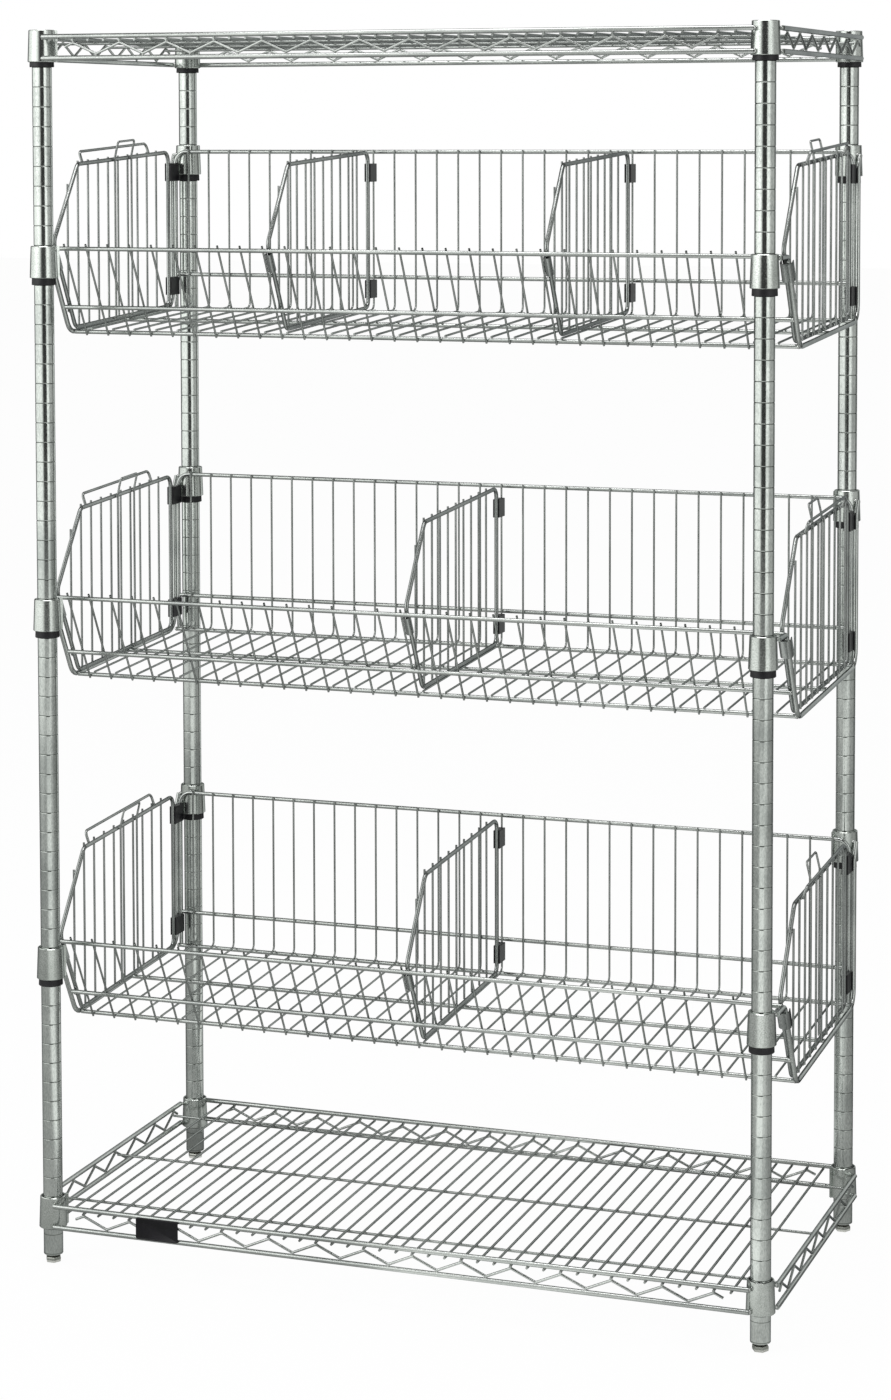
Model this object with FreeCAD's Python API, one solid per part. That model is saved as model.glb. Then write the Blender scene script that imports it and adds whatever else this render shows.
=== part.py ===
import FreeCAD, Part
import math
import os

# Wire basket stand: four notched posts carry a top shelf, three display baskets and a bottom shelf.
# Millimetres. X is to the right, -Y is the front, Z is up, the floor is z = 0 under the middle of the stand.
# Wires are prisms with few flat sides that hold the section area of the round wire.

# Posts and their caps
post_spacing_x = 952.0
post_spacing_y = 457.0
post_diameter = 25.4
post_wall = 1.5
post_bottom = 10.4
post_top_drop = 1.5
post_sides = 16
notch_pitch = 25.4
first_notch = 38.0
cap_skirt = 10.0
cap_rim = 1.4
cap_sides = 8

# Levelling feet and the threaded sockets in the posts
foot_hex_across_corners = 19.0
foot_hex_height = 6.6
foot_hex_sides = 6
foot_stem_diameter = 9.0
foot_stem_length = 32.0
socket_height = 30.0
socket_nose_diameter = 14.0
socket_nose_gap = 0.5
socket_sides = 6

# Split sleeves that seat in a notch, and the collars that wedge on them
sleeve_height = 41.0
sleeve_wall_bottom = 3.1
sleeve_wall_top = 1.6
sleeve_slit_angle = 8.0
sleeve_half_sides = 4
collar_height = 41.0
collar_wall = 2.0
collar_sides = 8
wing_reach = 3.0
wing_thickness = 3.0

# Clearances
running_gap = 0.35
slip_gap = 0.15
weld_gap = 0.1
same_point = 0.001

# Wires
rail_diameter = 6.4
mat_wire_diameter = 3.2
truss_wire_diameter = 3.4
basket_rail_diameter = 5.6
basket_wire_diameter = 2.8
picket_diameter = 3.0
end_frame_diameter = 6.4
fine_sides = 4
rail_sides = 6

# Levels from the floor up: how many notches the front sleeves are above the level below, how many more the
# rear ones have, how far the sleeves' lower ends are above their notch, and how far the collars ride above them
basket_rear_notch_count = 5
basket_collar_rise = 9.0
levels = {
    "bottom_shelf": {"notch_count": 0, "rear_count": 0, "sleeve_rise": 8.0, "collar_rise": 1.0},
    "basket_3": {"notch_count": 13, "rear_count": basket_rear_notch_count, "collar_rise": basket_collar_rise},
    "basket_2": {"notch_count": 18, "rear_count": basket_rear_notch_count, "collar_rise": basket_collar_rise},
    "basket_1": {"notch_count": 18, "rear_count": basket_rear_notch_count, "collar_rise": basket_collar_rise},
    "top_shelf": {"notch_count": 11, "rear_count": 0, "collar_rise": 6.5},
}

# Shelves
shelf_top_rail_drop = 9.0
shelf_rail_spacing = 27.5
shelf_rail_inset = 10.0
truss_pitch = 65.0
mat_wires_per_wave_count = 3
mat_wire_count = 42
side_rod_y = 187.0
long_truss_wave_count = 13
short_truss_wave_count = 6
truss_tail_share = 0.36
badge_width = 59.0
badge_height = 28.0
badge_thickness = 1.5
badge_x = -317.0

# Basket section: heights are measured from the front sleeves' lower ends
front_rail_inset = 46.5
front_rail_height = 45.0
back_rail_height = 168.0
back_middle_rail_height = -5.0
front_lower_rail_height = -33.5
floor_front_height = -68.0
floor_rear_height = -54.0
front_slope_run_per_rise = 0.55
floor_rail_y = 52.0
wire_tip = 5.0
basket_wire_count = 31
basket_wire_pitch = 31.0
end_frame_offset = 17.0
end_frame_top_bend = 12.0
end_frame_bend = 24.0
end_frame_shoulder = 22.0
end_frame_rear_drop = 4.0
hoop_inset = 6.5
hoop_bend = 16.0
bend_points = 2

# End panels and dividers
panel_rear_gap = 22.0
panel_kink_height = 53.0
panel_top_front_y = -106.0
panel_top_front_height = 154.0
panel_top_rear_height = 167.5
panel_top_bend = 12.0
panel_nose_bend = 9.0
picket_pitch = 31.0
picket_count = 10
picket_tip = 4.5
clip_height = 25.0
clip_wall = 1.4
clip_reach = 1.2
channel_length = 26.0
channel_wall = 1.2
channel_drop = 5.0
loop_diameter = 3.8
loop_height = 15.0
loop_front_y = -81.0
loop_rear_y = 129.0
loop_lean = 5.0
loop_bend = 6.0
hairpin_ys = (0.0, 52.0)
hairpin_height = 24.0
hairpin_lean = 5.0
divider_wires = {
    "basket_1_divider_left": ("basket_1", 9),
    "basket_1_divider_right": ("basket_1", 21),
    "basket_2_divider": ("basket_2", 15),
    "basket_3_divider": ("basket_3", 15),
}

X = FreeCAD.Vector(1, 0, 0)
Y = FreeCAD.Vector(0, 1, 0)
Z = FreeCAD.Vector(0, 0, 1)
corners = {
    "front_left": (-1, -1),
    "front_right": (1, -1),
    "rear_left": (-1, 1),
    "rear_right": (1, 1),
}
full_turn = 360.0


def at(x, y, z):
    return FreeCAD.Vector(x, y, z)


def flat_face(points):
    """A flat face on these corners, without the ones that coincide, or None when fewer than three are left."""
    kept = []
    for point in points:
        if not kept or point.distanceToPoint(kept[-1]) > same_point:
            kept.append(point)
    if kept[0].distanceToPoint(kept[-1]) < same_point:
        kept.pop()
    if len(kept) < 3:
        return None
    return Part.Face(Part.makePolygon(kept + [kept[0]]))


def solid_between(rings, closed=False):
    """A solid whose flat sides join each ring of points to the next one."""
    faces = []
    count = len(rings)
    for i in range(count if closed else count - 1):
        here = rings[i]
        there = rings[(i + 1) % count]
        for k in range(len(here)):
            j = (k + 1) % len(here)
            faces.append(flat_face([here[k], here[j], there[j], there[k]]))
    if not closed:
        faces.append(flat_face(rings[0]))
        faces.append(flat_face(rings[-1]))
    solid = Part.Solid(Part.Shell([face for face in faces if face is not None]))
    if solid.Volume < 0:
        solid.reverse()
    return solid


def equal_area_radius(diameter, sides):
    """The corner radius of a regular section with the round wire's area."""
    full = 2 * math.pi
    return diameter / 2 * math.sqrt(full / (sides * math.sin(full / sides)))


def wire_rings(path, diameter, sides, flat_way, closed=False):
    """The mitred sections of a bent wire along its path. The first one has a flat towards flat_way."""
    count = len(path)
    ways = [(path[(i + 1) % count] - path[i]).normalize() for i in range(count if closed else count - 1)]
    radius = equal_area_radius(diameter, sides)
    across = ways[0].cross(flat_way)
    turns = [2 * math.pi * (k + 1 / 2) / sides for k in range(sides)]
    ring = [path[0] + (flat_way * math.cos(t) + across * math.sin(t)) * radius for t in turns]
    rings = []
    for i, point in enumerate(path):
        before = ways[i - 1] if closed or i > 0 else ways[0]
        after = ways[i] if i < len(ways) else before
        along = before if i > 0 else after
        cut = before + after
        ring = [corner + along * ((point - corner).dot(cut) / along.dot(cut)) for corner in ring]
        rings.append(ring)
    return rings


def wire(path, diameter, sides, flat_way, closed=False):
    """A bent wire in one solid."""
    return solid_between(wire_rings(path, diameter, sides, flat_way, closed), closed)


def rounded(path, radii, closed=False):
    """The path with the corners numbered in radii {index: radius} cut to the points round an arc."""
    out = []
    count = len(path)
    for i, point in enumerate(path):
        if i not in radii:
            out.append(point)
            continue
        back = (path[i - 1] - point).normalize()
        ahead = (path[(i + 1) % count] - point).normalize()
        half = back.getAngle(ahead) / 2
        centre = point + (back + ahead).normalize() * (radii[i] / math.sin(half))
        start = point + back * (radii[i] / math.tan(half)) - centre
        end = point + ahead * (radii[i] / math.tan(half)) - centre
        turn = math.pi - 2 * half
        for s in range(bend_points):
            share = (s + 1 / 2) / bend_points
            mixed = start * math.sin((1 - share) * turn) + end * math.sin(share * turn)
            out.append(centre + mixed.normalize() * (radii[i] / math.cos(turn / bend_points / 2)))
    return out


def turned(profile, sides, centre, start=0.0, sweep=full_turn):
    """A many-sided turning of (radius, height) points about a vertical axis."""
    closed = sweep == full_turn
    rings = []
    for k in range(sides if closed else sides + 1):
        angle = math.radians(start + sweep * k / sides)
        out = at(math.cos(angle), math.sin(angle), 0)
        rings.append([centre + out * r + Z * z for r, z in profile])
    return solid_between(rings, closed)


def bore(radius, sides, sweep=full_turn):
    """The corner radius of a many-sided bore that clears a round of this radius."""
    return radius / math.cos(math.radians(sweep / sides / 2))


def extruded(outline, along):
    """A prism from a flat outline."""
    return solid_between([outline, [point + along for point in outline]])


def write(name, solids):
    shape = solids[0] if len(solids) == 1 else Part.makeCompound(solids)
    shape.exportStep(os.path.join("parts", name + ".step"))


# Places that several pieces share
post_x = post_spacing_x / 2
post_y = post_spacing_y / 2
post_radius = post_diameter / 2
post_inner_radius = post_radius - post_wall
post_bore_flat = post_inner_radius * math.cos(math.pi / post_sides)
collar_radius_bottom = post_radius + sleeve_wall_bottom + running_gap + collar_wall
collar_radius_top = post_radius + sleeve_wall_top + running_gap + collar_wall
rail_radius = rail_diameter / 2
basket_rail_radius = basket_rail_diameter / 2
basket_wire_radius = basket_wire_diameter / 2
mat_wire_radius = mat_wire_diameter / 2
truss_wire_radius = truss_wire_diameter / 2
picket_radius = picket_diameter / 2
rail_corner = equal_area_radius(rail_diameter, rail_sides)
rail_flat = rail_corner * math.cos(math.pi / rail_sides)
basket_rail_corner = equal_area_radius(basket_rail_diameter, rail_sides)
end_frame_corner = equal_area_radius(end_frame_diameter, rail_sides)
end_frame_flat = end_frame_corner * math.cos(math.pi / rail_sides)


def sleeve_bottom(level, side_y):
    """Height of a sleeve's lower end at the front (side_y -1) or the rear (side_y 1)."""
    names = list(levels)
    notches = sum(levels[name]["notch_count"] for name in names[: names.index(level) + 1])
    if side_y > 0:
        notches += levels[level]["rear_count"]
    return first_notch + notches * notch_pitch + levels[level].get("sleeve_rise", 0)


def collar_bottom(level, side_y):
    return sleeve_bottom(level, side_y) + levels[level]["collar_rise"]


post_top = collar_bottom("top_shelf", -1) + collar_height - post_top_drop


def collar_flat(radius):
    """Distance from the collar's axis to its flat sides, where its round radius is this."""
    return equal_area_radius(2 * radius, collar_sides) * math.cos(math.pi / collar_sides)


def collar_seat(level, side_y, height):
    """Distance from the collar's axis to a wire that is welded on a flat side at this height."""
    share = (height - collar_bottom(level, side_y)) / collar_height
    return collar_flat(collar_radius_bottom + (collar_radius_top - collar_radius_bottom) * share) + weld_gap


def beside_collar(seat, out):
    """Where a wire meets the collar's flat side at 45 degrees, when its near side runs this far out."""
    return math.sqrt(2) * seat - out


def posts():
    for name, (sx, sy) in corners.items():
        outline = [
            (post_inner_radius, post_bottom),
            (post_radius, post_bottom),
            (post_radius, post_top),
            (post_inner_radius, post_top),
        ]
        write("post_" + name, [turned(outline, post_sides, at(sx * post_x, sy * post_y, 0))])


def post_caps():
    fit = post_bore_flat - slip_gap
    rim_bottom = post_top + weld_gap
    outline = [
        (0, post_top - cap_skirt),
        (fit, post_top - cap_skirt),
        (fit, rim_bottom),
        (post_radius, rim_bottom),
        (post_radius, rim_bottom + cap_rim),
        (0, rim_bottom + cap_rim),
    ]
    places = [at(sx * post_x, sy * post_y, 0) for sx, sy in corners.values()]
    write("post_caps", [turned(outline, cap_sides, place) for place in places])


def foot_sockets():
    hole = bore(foot_stem_diameter / 2 + running_gap, socket_sides)
    nose_bottom = foot_hex_height + socket_nose_gap
    outline = [
        (hole, nose_bottom),
        (socket_nose_diameter / 2, nose_bottom),
        (post_bore_flat - slip_gap, post_bottom),
        (post_bore_flat - slip_gap, post_bottom + socket_height),
        (hole, post_bottom + socket_height),
    ]
    places = [at(sx * post_x, sy * post_y, 0) for sx, sy in corners.values()]
    write("foot_sockets", [turned(outline, socket_sides, place) for place in places])


def feet():
    outline = [
        (0, 0),
        (foot_hex_across_corners / 2, 0),
        (foot_hex_across_corners / 2, foot_hex_height),
        (foot_stem_diameter / 2, foot_hex_height),
        (foot_stem_diameter / 2, foot_stem_length),
        (0, foot_stem_length),
    ]
    for name, (sx, sy) in corners.items():
        write("foot_" + name, [turned(outline, foot_hex_sides, at(sx * post_x, sy * post_y, 0))])


def sleeve_pair(sx, sy, bottom):
    """Two half sleeves that taper upwards round one post."""
    half = full_turn / 2 - sleeve_slit_angle
    inner = bore(post_radius + slip_gap, sleeve_half_sides, half)
    outline = [
        (inner, bottom),
        (post_radius + sleeve_wall_bottom, bottom),
        (post_radius + sleeve_wall_top, bottom + sleeve_height),
        (inner, bottom + sleeve_height),
    ]
    centre = at(sx * post_x, sy * post_y, 0)
    starts = (sleeve_slit_angle / 2, sleeve_slit_angle / 2 + full_turn / 2)
    return [turned(outline, sleeve_half_sides, centre, start, half) for start in starts]


def sleeves(level):
    solids = []
    for sx, sy in corners.values():
        solids += sleeve_pair(sx, sy, sleeve_bottom(level, sy))
    write("split_sleeves_" + level, solids)


def collar(sx, sy, bottom):
    """A tapered collar, and the welding wing that points from it to the middle of the stand."""
    centre = at(sx * post_x, sy * post_y, 0)
    top = bottom + collar_height
    outline = [
        (bore(collar_radius_bottom - collar_wall, collar_sides), bottom),
        (equal_area_radius(2 * collar_radius_bottom, collar_sides), bottom),
        (equal_area_radius(2 * collar_radius_top, collar_sides), top),
        (bore(collar_radius_top - collar_wall, collar_sides), top),
    ]
    ring = turned(outline, collar_sides, centre, full_turn / collar_sides / 2)
    inward = at(-sx, -sy, 0).normalize()
    side = inward.cross(Z) * (wing_thickness / 2)
    wing_outline = [
        centre + inward * (collar_flat(collar_radius_bottom) + weld_gap) + Z * bottom,
        centre + inward * (collar_radius_bottom + wing_reach) + Z * bottom,
        centre + inward * (collar_radius_bottom + wing_reach) + Z * top,
        centre + inward * (collar_flat(collar_radius_top) + weld_gap) + Z * top,
    ]
    wing = solid_between([[p - side for p in wing_outline], [p + side for p in wing_outline]])
    return [ring, wing]


def collars(level):
    solids = []
    for sx, sy in corners.values():
        solids += collar(sx, sy, collar_bottom(level, sy))
    write(level + "_collars", solids)


def truss(along, across, out, ends, waves, peak, lower, upper):
    """Two rails and the zigzag wire between them, in the upright plane at distance out along across."""
    plane = across * out
    solids = []
    for height in (upper, lower):
        path = [plane - along * ends + Z * height, plane + along * ends + Z * height]
        solids.append(wire(path, rail_diameter, rail_sides, Z))
    valley = lower + rail_radius + weld_gap + truss_wire_radius
    half_wave = truss_pitch / 2
    first = -waves * half_wave
    tail = truss_tail_share * half_wave
    tail_height = peak - truss_tail_share * (peak - valley)
    path = [plane + along * (first - tail) + Z * tail_height]
    for i in range(2 * waves + 1):
        path.append(plane + along * (first + i * half_wave) + Z * (valley if i % 2 else peak))
    path.append(plane + along * (tail - first) + Z * tail_height)
    solids.append(wire(path, truss_wire_diameter, fine_sides, across))
    return solids


def shelf(level):
    """A shelf: four trusses between the collars, and the mat of wires under the long top rails."""
    upper = collar_bottom(level, -1) + collar_height - shelf_top_rail_drop
    lower = upper - shelf_rail_spacing
    out = beside_collar(collar_seat(level, -1, lower - rail_corner), shelf_rail_inset) + rail_flat
    mat_height = upper - rail_radius - weld_gap - mat_wire_radius
    rod_height = mat_height - mat_wire_radius - weld_gap - truss_wire_radius
    side_peak = upper - rail_radius - weld_gap - truss_wire_radius
    long_ends = post_x - shelf_rail_inset
    short_ends = post_y - shelf_rail_inset
    for name, sign in (("front", -1), ("rear", 1)):
        solids = truss(X, Y, sign * (post_y + out), long_ends, long_truss_wave_count, rod_height, lower, upper)
        write(level + "_" + name + "_truss", solids)
    for name, sign in (("left", -1), ("right", 1)):
        solids = truss(Y, X, sign * (post_x + out), short_ends, short_truss_wave_count, side_peak, lower, upper)
        write(level + "_" + name + "_truss", solids)
    mat_reach = post_y + out + rail_corner
    mat_pitch = truss_pitch / mat_wires_per_wave_count
    mat = []
    for i in range(mat_wire_count):
        x = mat_pitch * (i - (mat_wire_count - 1) / 2)
        path = [at(x, -mat_reach, mat_height), at(x, mat_reach, mat_height)]
        mat.append(wire(path, mat_wire_diameter, fine_sides, Z))
    rod_reach = post_x + out - rail_corner - weld_gap
    for y in (-side_rod_y, 0, side_rod_y):
        path = [at(-rod_reach, y, rod_height), at(rod_reach, y, rod_height)]
        mat.append(wire(path, truss_wire_diameter, fine_sides, Z))
    write(level + "_mat", mat)
    return mat_reach, lower, upper


def badge_plate(rail_face, lower, upper):
    """The blank plate in front of the bottom shelf's front truss."""
    back = -rail_face - weld_gap
    middle = (lower + upper) / 2
    outline = [
        at(badge_x + sx * badge_width / 2, back, middle + sz * badge_height / 2)
        for sx, sz in ((-1, -1), (1, -1), (1, 1), (-1, 1))
    ]
    write("badge_plate", [extruded(outline, -Y * badge_thickness)])


class Section:
    """The side view of a basket: the line of its rails, and lines at a distance inside it."""

    def __init__(self, level):
        self.level = level
        self.base = sleeve_bottom(level, -1)
        rear_seat = collar_seat(level, 1, self.base + back_rail_height - basket_rail_corner)
        self.front_y = front_rail_inset - post_y
        self.rear_y = post_y - rear_seat - basket_rail_corner
        self.slope = at(0, front_slope_run_per_rise, -1).normalize()
        self.front_corner = self.on_slope(floor_front_height)
        self.rear_corner = at(0, self.rear_y, self.base + floor_rear_height)
        self.floor = (self.rear_corner - self.front_corner).normalize()
        self.inward = self.slope.cross(-X)
        self.upward = self.floor.cross(-X)
        self.front_floor_rail = self.front_corner + self.floor * (2 * wire_stack / self.floor.dot(self.inward))

    def on_slope(self, height, inside=0.0):
        """The point of the front line at this height, with the line moved inside by a distance."""
        drop = front_rail_height - height
        shift = inside / abs(self.slope.z)
        return at(0, self.front_y + front_slope_run_per_rise * drop + shift, self.base + height)

    def on_floor(self, y, inside=0.0):
        """The point of the floor line at this y, with the line moved inside by a distance."""
        rise = (y - self.front_corner.y) * self.floor.z / self.floor.y
        return at(0, y, self.front_corner.z + rise + inside / self.floor.y)

    def inner_front_corner(self, inside):
        """Where the front line and the floor line cross, both moved inside by a distance."""
        start = self.front_corner + self.inward * inside
        gap = self.on_floor(start.y, inside).z - start.z
        steepness = self.slope.z - self.slope.y * self.floor.z / self.floor.y
        return start + self.slope * (gap / steepness)

    def wire_path(self, tip):
        """The line of the thin wires, from above the back rail to in front of the front floor rail."""
        back = self.rear_y - wire_stack
        return [
            at(0, back, self.base + back_rail_height + tip),
            self.on_floor(back, wire_stack),
            self.front_floor_rail + self.upward * wire_stack - self.floor * tip,
        ]

    def front_wire_path(self, tip):
        """The line of the front wires, from above the front rail to below the front floor rail."""
        return [
            self.on_slope(front_rail_height) + self.inward * wire_stack - self.slope * tip,
            self.front_floor_rail - self.inward * wire_stack + self.slope * tip,
        ]


wire_stack = basket_rail_radius + weld_gap + basket_wire_radius
end_frame_x = post_x + end_frame_offset
end_rail_x = end_frame_x - end_frame_corner - weld_gap
hoop_x = end_frame_x - hoop_inset
basket_wire_xs = [basket_wire_pitch * (i - (basket_wire_count - 1) / 2) for i in range(basket_wire_count)]
panel_inside = 2 * basket_rail_corner + running_gap
divider_inside = wire_stack + basket_wire_radius + running_gap + basket_rail_corner
picket_offset = basket_rail_radius + weld_gap + picket_radius
clip_half_width = basket_rail_corner + slip_gap + clip_wall
divider_channel_half = basket_rail_corner + running_gap
front_wire_shift = divider_channel_half + channel_wall + weld_gap + basket_wire_radius


def straight_rail(place, flat_way):
    """A basket rail from end frame to end frame."""
    return wire([place - X * end_rail_x, place + X * end_rail_x], basket_rail_diameter, rail_sides, flat_way)


def grilles(section):
    """Three grilles: the wires that bend into the floor are cut there, and each part goes with its rails."""
    base = section.base
    back, floor, front = [], [], []
    for x in basket_wire_xs:
        path = [point + X * x for point in section.wire_path(wire_tip)]
        rings = wire_rings(path, basket_wire_diameter, fine_sides, X)
        back.append(solid_between(rings[:2]))
        floor.append(solid_between(rings[1:]))
        path = [point + X * (x - front_wire_shift) for point in section.front_wire_path(wire_tip)]
        front.append(wire(path, basket_wire_diameter, fine_sides, X))
    hoop_bottom = section.rear_corner.z + basket_rail_corner + weld_gap
    top = base + back_rail_height
    hoop = [
        at(-hoop_x, section.rear_y, hoop_bottom),
        at(-hoop_x, section.rear_y, top),
        at(hoop_x, section.rear_y, top),
        at(hoop_x, section.rear_y, hoop_bottom),
    ]
    back.append(wire(rounded(hoop, {1: hoop_bend, 2: hoop_bend}), basket_rail_diameter, rail_sides, Y))
    middle = at(0, section.rear_y, base + back_middle_rail_height)
    middle_end = hoop_x - basket_rail_corner - weld_gap
    path = [middle - X * middle_end, middle + X * middle_end]
    back.append(wire(path, basket_rail_diameter, rail_sides, Y))
    for place in (section.front_floor_rail, section.on_floor(floor_rail_y), section.rear_corner):
        floor.append(straight_rail(place, section.upward))
    for height in (front_rail_height, front_lower_rail_height):
        front.append(straight_rail(section.on_slope(height), section.inward))
    for sign in (-1, 1):
        front.append(end_channel(section, sign))
    for basket, index in divider_wires.values():
        if basket == section.level:
            front.append(divider_channel(section, basket_wire_xs[index]))
    write(section.level + "_back_grille", back)
    write(section.level + "_floor_grille", floor)
    write(section.level + "_front_grille", front)


def channel(section, middle_x, half_width, front, back):
    """A trough along the front slope, open to the inside, between two distances inside the rails' line."""
    start = section.on_slope(front_rail_height) + section.slope * (basket_rail_corner + channel_drop)
    outer = half_width + channel_wall
    floor = front - channel_wall
    outline = [
        (-outer, back),
        (-outer, floor),
        (outer, floor),
        (outer, back),
        (half_width, back),
        (half_width, front),
        (-half_width, front),
        (-half_width, back),
    ]
    points = [start + X * (middle_x + x) + section.inward * inside for x, inside in outline]
    return extruded(points, section.slope * channel_length)


def divider_channel(section, x):
    front = wire_stack - basket_wire_radius - weld_gap
    return channel(section, x, divider_channel_half, front, divider_inside)


def end_channel(section, sign):
    """The trough round an end frame and the end panel's ring beside it."""
    half_width = (end_frame_corner + hoop_inset + basket_rail_corner) / 2 + running_gap
    outer_face = end_frame_x + end_frame_corner + running_gap
    front = -end_frame_corner - weld_gap
    return channel(section, sign * (outer_face - half_width), half_width, front, panel_inside)


def end_frames(section):
    """The bent frame at each end, from beside the front collar, down, along the floor and up the back."""
    base = section.base
    top = base + back_rail_height - end_frame_rear_drop
    near_side = end_frame_offset - end_frame_flat
    front_seat = collar_seat(section.level, -1, base + front_rail_height - end_frame_corner)
    rear_seat = collar_seat(section.level, 1, top - end_frame_corner)
    front_y = beside_collar(front_seat, near_side) - post_y
    rear_y = post_y - beside_collar(rear_seat, near_side) - end_frame_corner
    solids = []
    for sign in (-1, 1):
        path = [
            at(0, front_y, base + front_rail_height),
            section.on_slope(front_rail_height),
            section.front_corner,
            section.rear_corner,
            at(0, section.rear_y, base + back_rail_height - end_frame_shoulder),
            at(0, rear_y, top),
        ]
        path = rounded(path, {1: end_frame_top_bend, 2: end_frame_bend, 3: end_frame_bend})
        path = [point + X * (sign * end_frame_x) for point in path]
        solids.append(wire(path, end_frame_diameter, rail_sides, X))
    write(section.level + "_end_frames", solids)


class Panel:
    """The outline of an end panel or divider, a given distance inside the basket's line."""

    def __init__(self, section, inside):
        base = section.base
        self.section = section
        self.inside = inside
        self.rear_y = section.rear_y - wire_stack - panel_rear_gap
        self.kink = section.on_slope(panel_kink_height, inside)
        self.top_front = at(0, panel_top_front_y, base + panel_top_front_height)
        self.top_rear = at(0, self.rear_y, base + panel_top_rear_height)
        self.bottom_rear = section.on_floor(self.rear_y, inside)
        self.bottom_front = section.inner_front_corner(inside)

    def ring(self, x):
        path = [self.kink, self.top_front, self.top_rear, self.bottom_rear, self.bottom_front]
        bends = {1: panel_nose_bend, 2: panel_top_bend, 3: panel_top_bend, 4: panel_nose_bend}
        path = [point + X * x for point in rounded(path, bends, True)]
        return wire(path, basket_rail_diameter, rail_sides, X, True)

    def top_at(self, y):
        """Height of the upper edge's centre line at this y."""
        start, end = (self.top_front, self.top_rear) if y > self.top_front.y else (self.kink, self.top_front)
        return start.z + (end.z - start.z) * (y - start.y) / (end.y - start.y)

    def bottom_at(self, y):
        """Height of the lower edge's centre line at this y."""
        if y > self.bottom_front.y:
            return self.section.on_floor(y, self.inside).z
        return self.bottom_front.z + (self.bottom_front.y - y) / front_slope_run_per_rise

    def pickets(self, x):
        """Upright wires lapped on one side of the ring."""
        solids = []
        for i in range(picket_count):
            y = self.rear_y - picket_pitch * (i + 1)
            path = [at(x, y, self.bottom_at(y)), at(x, y, self.top_at(y) + picket_tip)]
            solids.append(wire(path, picket_diameter, fine_sides, X))
        return solids


def clip(middle_x, ring_y, back_y, back_radius, back_slot, bottom, one_sided=0):
    """A clip from a ring's rear wire to the wire behind it. A one-sided one has a single leg there."""
    front_slot = basket_rail_corner + slip_gap
    front_tip = ring_y - clip_reach
    front_floor = ring_y + basket_rail_corner + slip_gap
    rear_floor = back_y - back_radius - back_slot
    rear_tip = back_y + clip_reach
    rear_slot = clip_half_width - clip_wall if one_sided else back_radius + back_slot
    outline = [
        (-clip_half_width, front_tip),
        (-front_slot, front_tip),
        (-front_slot, front_floor),
        (front_slot, front_floor),
        (front_slot, front_tip),
        (clip_half_width, front_tip),
    ]
    if one_sided:
        outline += [(clip_half_width, rear_floor)]
    else:
        outline += [(clip_half_width, rear_tip), (rear_slot, rear_tip), (rear_slot, rear_floor)]
    outline += [(-rear_slot, rear_floor), (-rear_slot, rear_tip), (-clip_half_width, rear_tip)]
    mirror = one_sided if one_sided else 1
    return extruded([at(middle_x + mirror * x, y, bottom) for x, y in outline], Z * clip_height)


def clip_bottoms(section):
    """Heights of the upper clips, and of the lower ones just below the back middle rail."""
    upper = section.base + back_rail_height - hoop_bend - clip_height
    lower = section.base + back_middle_rail_height - basket_rail_corner - slip_gap - clip_height
    return (upper, lower)


def end_loop(panel, sign):
    """The long loop on the outer side of an end panel's upper edge, which leans outwards."""
    x = sign * (hoop_x + basket_rail_radius + weld_gap + loop_diameter / 2)
    lean = X * (sign * loop_lean) + Z * loop_height
    front = at(x, loop_front_y, panel.top_at(loop_front_y))
    rear = at(x, loop_rear_y, panel.top_at(loop_rear_y))
    path = rounded([front, front + lean, rear + lean, rear], {1: loop_bend, 2: loop_bend})
    return wire(path, loop_diameter, fine_sides, Y)


def hairpin(panel, sign):
    """Two legs on the inner side of an end panel that lean inwards above it and are joined by a bar."""
    x = sign * (hoop_x - picket_offset)
    lean = -X * (sign * hairpin_lean) + Z * hairpin_height
    sides = []
    for y in hairpin_ys:
        top = at(x, y, panel.top_at(y) + basket_rail_radius)
        sides.append([at(x, y, panel.bottom_at(y)), top, top + lean - Z * basket_rail_radius])
    return wire(sides[0] + sides[1][::-1], picket_diameter, fine_sides, X)


def end_panels(section):
    panel = Panel(section, panel_inside)
    clips = []
    for name, sign in (("left", -1), ("right", 1)):
        x = sign * hoop_x
        solids = [panel.ring(x)] + panel.pickets(x + sign * picket_offset)
        solids += [end_loop(panel, sign), hairpin(panel, sign)]
        write(section.level + "_" + name + "_end_panel", solids)
        for bottom in clip_bottoms(section):
            clips.append(clip(x, panel.rear_y, section.rear_y, basket_rail_radius, slip_gap, bottom, sign))
    write(section.level + "_panel_clips", clips)


def dividers(section):
    panel = Panel(section, divider_inside)
    wire_y = section.rear_y - wire_stack
    for name, (basket, index) in divider_wires.items():
        if basket != section.level:
            continue
        x = basket_wire_xs[index]
        write(name, [panel.ring(x)] + panel.pickets(x - picket_offset))
        clips = [
            clip(x, panel.rear_y, wire_y, basket_wire_radius, running_gap, bottom)
            for bottom in clip_bottoms(section)
        ]
        write(name + "_clips", clips)


os.makedirs("parts", exist_ok=True)
for builder in (posts, post_caps, foot_sockets, feet):
    builder()
for level in levels:
    sleeves(level)
    collars(level)
    if level.startswith("basket"):
        section = Section(level)
        grilles(section)
        end_frames(section)
        end_panels(section)
        dividers(section)
    else:
        places = shelf(level)
        if level == "bottom_shelf":
            badge_plate(*places)
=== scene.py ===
import math

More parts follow.
